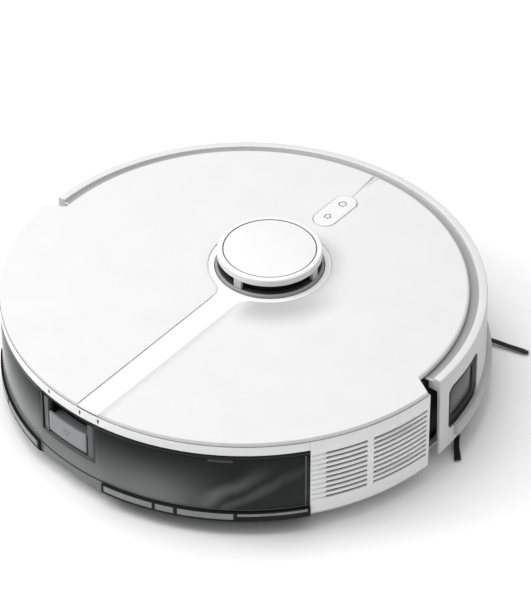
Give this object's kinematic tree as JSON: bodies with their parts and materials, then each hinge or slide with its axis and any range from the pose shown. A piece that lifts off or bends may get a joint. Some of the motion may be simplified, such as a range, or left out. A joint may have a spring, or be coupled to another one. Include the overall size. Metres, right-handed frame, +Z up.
{
  "type": "robot vacuum",
  "caption": "Round robot vacuum with a laser turret, sprung front bumper, driven wheels, rotating brushes and a rear dust and water tank that slides out.",
  "frame": {"origin": "on the floor under the middle of the round body", "axes": "+X forwards (bumper side), +Y to the robot's left, +Z up"},
  "size_m": [0.354, 0.3555, 0.0957],
  "materials": {
    "white_shell": "fine-grained matt white",
    "white_smooth": "smooth satin white",
    "pale_trim": "satin pale grey-white",
    "grey_plastic": "matt mid grey",
    "dark_plastic": "matt near-black",
    "black_frame": "glossy black",
    "smoke_plastic": "glossy smoke, nearly opaque",
    "latch_grey": "satin grey",
    "tinted_window": "dark infrared-clear plastic",
    "soft_band": "soft matt grey",
    "clear_bin": "smoky grey",
    "brush_orange": "matt orange",
    "rubber_vane": "black rubber",
    "belt_rubber": "black",
    "tyre": "ribbed black",
    "bristle": "black nylon",
    "steel": "bright",
    "contact_metal": "plated",
    "circuit_board": "green board",
    "battery_wrap": "blue wrap",
    "filter_paper": "pleated paper",
    "mop_fabric": "grey-blue pile"
  },
  "bodies": {
    "chassis": {"base_plate": "white_shell", "inner_frame": "dark_plastic", "upper_housing": "white_smooth", "top_cover": "white_shell", "strip_inlay": "white_smooth", "vent_panel_right": "white_smooth", "vent_panel_left": "white_smooth", "battery_hatch": "white_smooth", "battery_pack": "battery_wrap", "main_board": "circuit_board", "charging_contacts": "contact_metal", "cliff_sensors": "tinted_window", "base_screws": "steel", "bumper_switches": "dark_plastic", "lidar_base": "dark_plastic", "lidar_bearing": "steel", "lidar_motor": "steel", "lidar_belt": "belt_rubber", "key_carrier": "grey_plastic", "side_brush_motor": "dark_plastic", "brush_housing": "dark_plastic", "brush_guard": "grey_plastic", "brush_bearings": "steel", "brush_gearbox": "dark_plastic", "brush_motor": "steel", "arm_pivot_pins": "steel", "fan_housing": "dark_plastic", "water_pump": "dark_plastic"},
    "bumper": {"bumper_shell": "white_shell", "bumper_band": "soft_band", "side_sensor_frame": "black_frame", "side_sensor_glass": "tinted_window", "dock_sensor_window": "tinted_window"},
    "turret": {"turret_cap": "white_smooth", "turret_disc": "pale_trim"},
    "lidar_head": {"lidar_rotor": "dark_plastic"},
    "lidar_drive": {"lidar_pulley": "dark_plastic"},
    "key": {"key_pill": "pale_trim"},
    "side_brush": {"side_brush_hub": "grey_plastic", "side_brush_bristles": "bristle"},
    "main_brush": {"brush_core": "brush_orange", "brush_vanes": "rubber_vane"},
    "arm_right": {"wheel_arm_right": "dark_plastic", "wheel_motor_right": "steel"},
    "arm_left": {"wheel_arm_left": "dark_plastic", "wheel_motor_left": "steel"},
    "wheel_right": {"wheel_hub_right": "grey_plastic", "tyre_right": "tyre"},
    "wheel_left": {"wheel_hub_left": "grey_plastic", "tyre_left": "tyre"},
    "caster": {"caster_fork": "grey_plastic"},
    "caster_roller": {"caster_wheel": "dark_plastic"},
    "impeller": {"fan_impeller": "grey_plastic"},
    "tank": {"tank_shell": "smoke_plastic", "dust_box": "clear_bin", "tank_lid": "smoke_plastic", "tank_filter": "filter_paper"},
    "latch": {"tank_latch": "latch_grey"},
    "mop": {"mop_bracket": "dark_plastic", "mop_cloth": "mop_fabric"}
  },
  "joints": [
    {"name": "bumper_press", "type": "slide", "parent": "chassis", "child": "bumper", "axis": [-1, 0, 0], "range_m": [0, 0.003], "stiffness_N_per_m": 900, "springref_m": -0.002},
    {"name": "turret_press", "type": "slide", "parent": "chassis", "child": "turret", "axis": [0, 0, -1], "range_m": [0, 0.001], "stiffness_N_per_m": 1500, "springref_m": -0.001},
    {"name": "lidar_spin", "type": "hinge", "parent": "chassis", "child": "lidar_head", "pos_m": [0.0286, 0, 0.07], "axis": [0, 0, 1], "continuous": true},
    {"name": "lidar_drive_spin", "type": "hinge", "parent": "chassis", "child": "lidar_drive", "pos_m": [0.0786, 0, 0.065], "axis": [0, 0, 1], "continuous": true},
    {"name": "key_rock", "type": "hinge", "parent": "chassis", "child": "key", "pos_m": [0.10675, 0, 0.0768], "axis": [0, 1, 0], "range_deg": [-2.2, 2.2], "stiffness_Nm_per_rad": 0.2},
    {"name": "side_brush_spin", "type": "hinge", "parent": "chassis", "child": "side_brush", "pos_m": [0.071, -0.124, 0.01], "axis": [0, 0, 1], "continuous": true, "deforming": ["side_brush_bristles"]},
    {"name": "main_brush_spin", "type": "hinge", "parent": "chassis", "child": "main_brush", "pos_m": [-0.036, 0, 0.021], "axis": [0, 1, 0], "continuous": true},
    {"name": "arm_drop_right", "type": "hinge", "parent": "chassis", "child": "arm_right", "pos_m": [0.046, -0.0948, 0.04], "axis": [0, -1, 0], "range_deg": [0, 25], "stiffness_Nm_per_rad": 0.4, "springref_deg": 42.97},
    {"name": "arm_drop_left", "type": "hinge", "parent": "chassis", "child": "arm_left", "pos_m": [0.046, 0.0948, 0.04], "axis": [0, -1, 0], "range_deg": [0, 25], "stiffness_Nm_per_rad": 0.4, "springref_deg": 42.97},
    {"name": "wheel_spin_right", "type": "hinge", "parent": "arm_right", "child": "wheel_right", "pos_m": [0, -0.113, 0.033], "axis": [0, 1, 0], "continuous": true},
    {"name": "wheel_spin_left", "type": "hinge", "parent": "arm_left", "child": "wheel_left", "pos_m": [0, 0.113, 0.033], "axis": [0, 1, 0], "continuous": true},
    {"name": "caster_swivel", "type": "hinge", "parent": "chassis", "child": "caster", "pos_m": [0.134, 0, 0.03], "axis": [0, 0, 1], "continuous": true},
    {"name": "caster_spin", "type": "hinge", "parent": "caster", "child": "caster_roller", "pos_m": [0.128, 0, 0.0125], "axis": [0, 1, 0], "continuous": true},
    {"name": "impeller_spin", "type": "hinge", "parent": "chassis", "child": "impeller", "pos_m": [-0.074, -0.11, 0.041], "axis": [0, 1, 0], "continuous": true},
    {"name": "tank_slide", "type": "slide", "parent": "chassis", "child": "tank", "axis": [-1, 0, 0], "range_m": [0, 0.14]},
    {"name": "latch_press", "type": "slide", "parent": "tank", "child": "latch", "axis": [0.9923, -0.1236, 0], "range_m": [0, 0.003], "stiffness_N_per_m": 800, "springref_m": -0.002},
    {"name": "mop_slide", "type": "slide", "parent": "tank", "child": "mop", "axis": [-1, 0, 0], "range_m": [0, 0.08]}
  ],
  "couplings": [
    {"joint": "lidar_drive_spin", "follows": "lidar_spin", "ratio": 5.2975}
  ]
}
